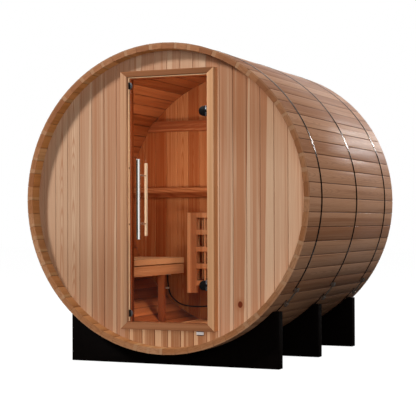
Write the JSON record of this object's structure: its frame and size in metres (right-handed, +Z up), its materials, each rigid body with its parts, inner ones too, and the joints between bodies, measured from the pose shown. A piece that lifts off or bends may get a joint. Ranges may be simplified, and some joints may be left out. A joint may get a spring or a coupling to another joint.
{
  "type": "barrel sauna",
  "caption": "Barrel sauna of cedar staves on black cradles, with a recessed boarded front, a hinged tinted glass door, a bench and a guarded heater inside.",
  "frame": {"origin": "on the ground under the middle of the barrel", "axes": "+Z up, barrel axis along Y, the door end faces -Y, +X to the right seen from the door end"},
  "size_m": [1.9034, 1.806, 1.9758],
  "materials": {
    "stave_wood": "satin",
    "wall_wood": "satin",
    "frame_wood": "satin",
    "stop_wood": "satin",
    "bench_wood": "satin",
    "guard_wood": "satin",
    "cradle_paint": "black paint, satin",
    "band_steel": "brushed",
    "tensioner_steel": "zinc",
    "bright_steel": "polished",
    "black_metal": "satin",
    "handle_steel": "polished",
    "handle_wood": "satin",
    "tinted_glass": "bronze tint",
    "heater_paint": "matt",
    "lead_rubber": "matt",
    "fitting_plastic": "matt"
  },
  "bodies": {
    "sauna": {"right_staves": "stave_wood", "upper_right_staves": "stave_wood", "top_staves": "stave_wood", "upper_left_staves": "stave_wood", "left_staves": "stave_wood", "lower_left_staves": "stave_wood", "bottom_staves": "stave_wood", "lower_right_staves": "stave_wood", "front_wall_left": "wall_wood", "front_wall_right": "wall_wood", "front_wall_over_door": "wall_wood", "front_wall_under_door": "wall_wood", "back_wall": "wall_wood", "door_sill": "frame_wood", "right_jamb": "frame_wood", "door_head": "frame_wood", "left_jamb": "frame_wood", "left_stop": "stop_wood", "right_stop": "stop_wood", "head_stop": "stop_wood", "bench_seat": "bench_wood", "bench_apron": "bench_wood", "bench_bearers": "bench_wood", "bench_legs": "bench_wood", "wall_rails": "bench_wood", "floor_deck": "bench_wood", "guard_front": "guard_wood", "guard_left": "guard_wood", "guard_right": "guard_wood", "front_cradle": "cradle_paint", "middle_cradle": "cradle_paint", "rear_cradle": "cradle_paint", "bands": "band_steel", "tensioners": "tensioner_steel", "hinge_brackets": "bright_steel", "catch_magnets": "bright_steel", "heater": "heater_paint", "heater_lead": "lead_rubber", "lead_fittings": "fitting_plastic"},
    "door": {"door_glass": "tinted_glass", "hinge_clamps": "black_metal", "catch_plates": "black_metal", "outer_handle": "handle_steel", "inner_handle": "handle_wood", "handle_posts": "handle_steel"}
  },
  "joints": [
    {"name": "door_swing", "type": "hinge", "parent": "sauna", "child": "door", "pos_m": [0.283, -0.854, 1], "axis": [0, 0, 1], "range_deg": [0, 90]}
  ]
}
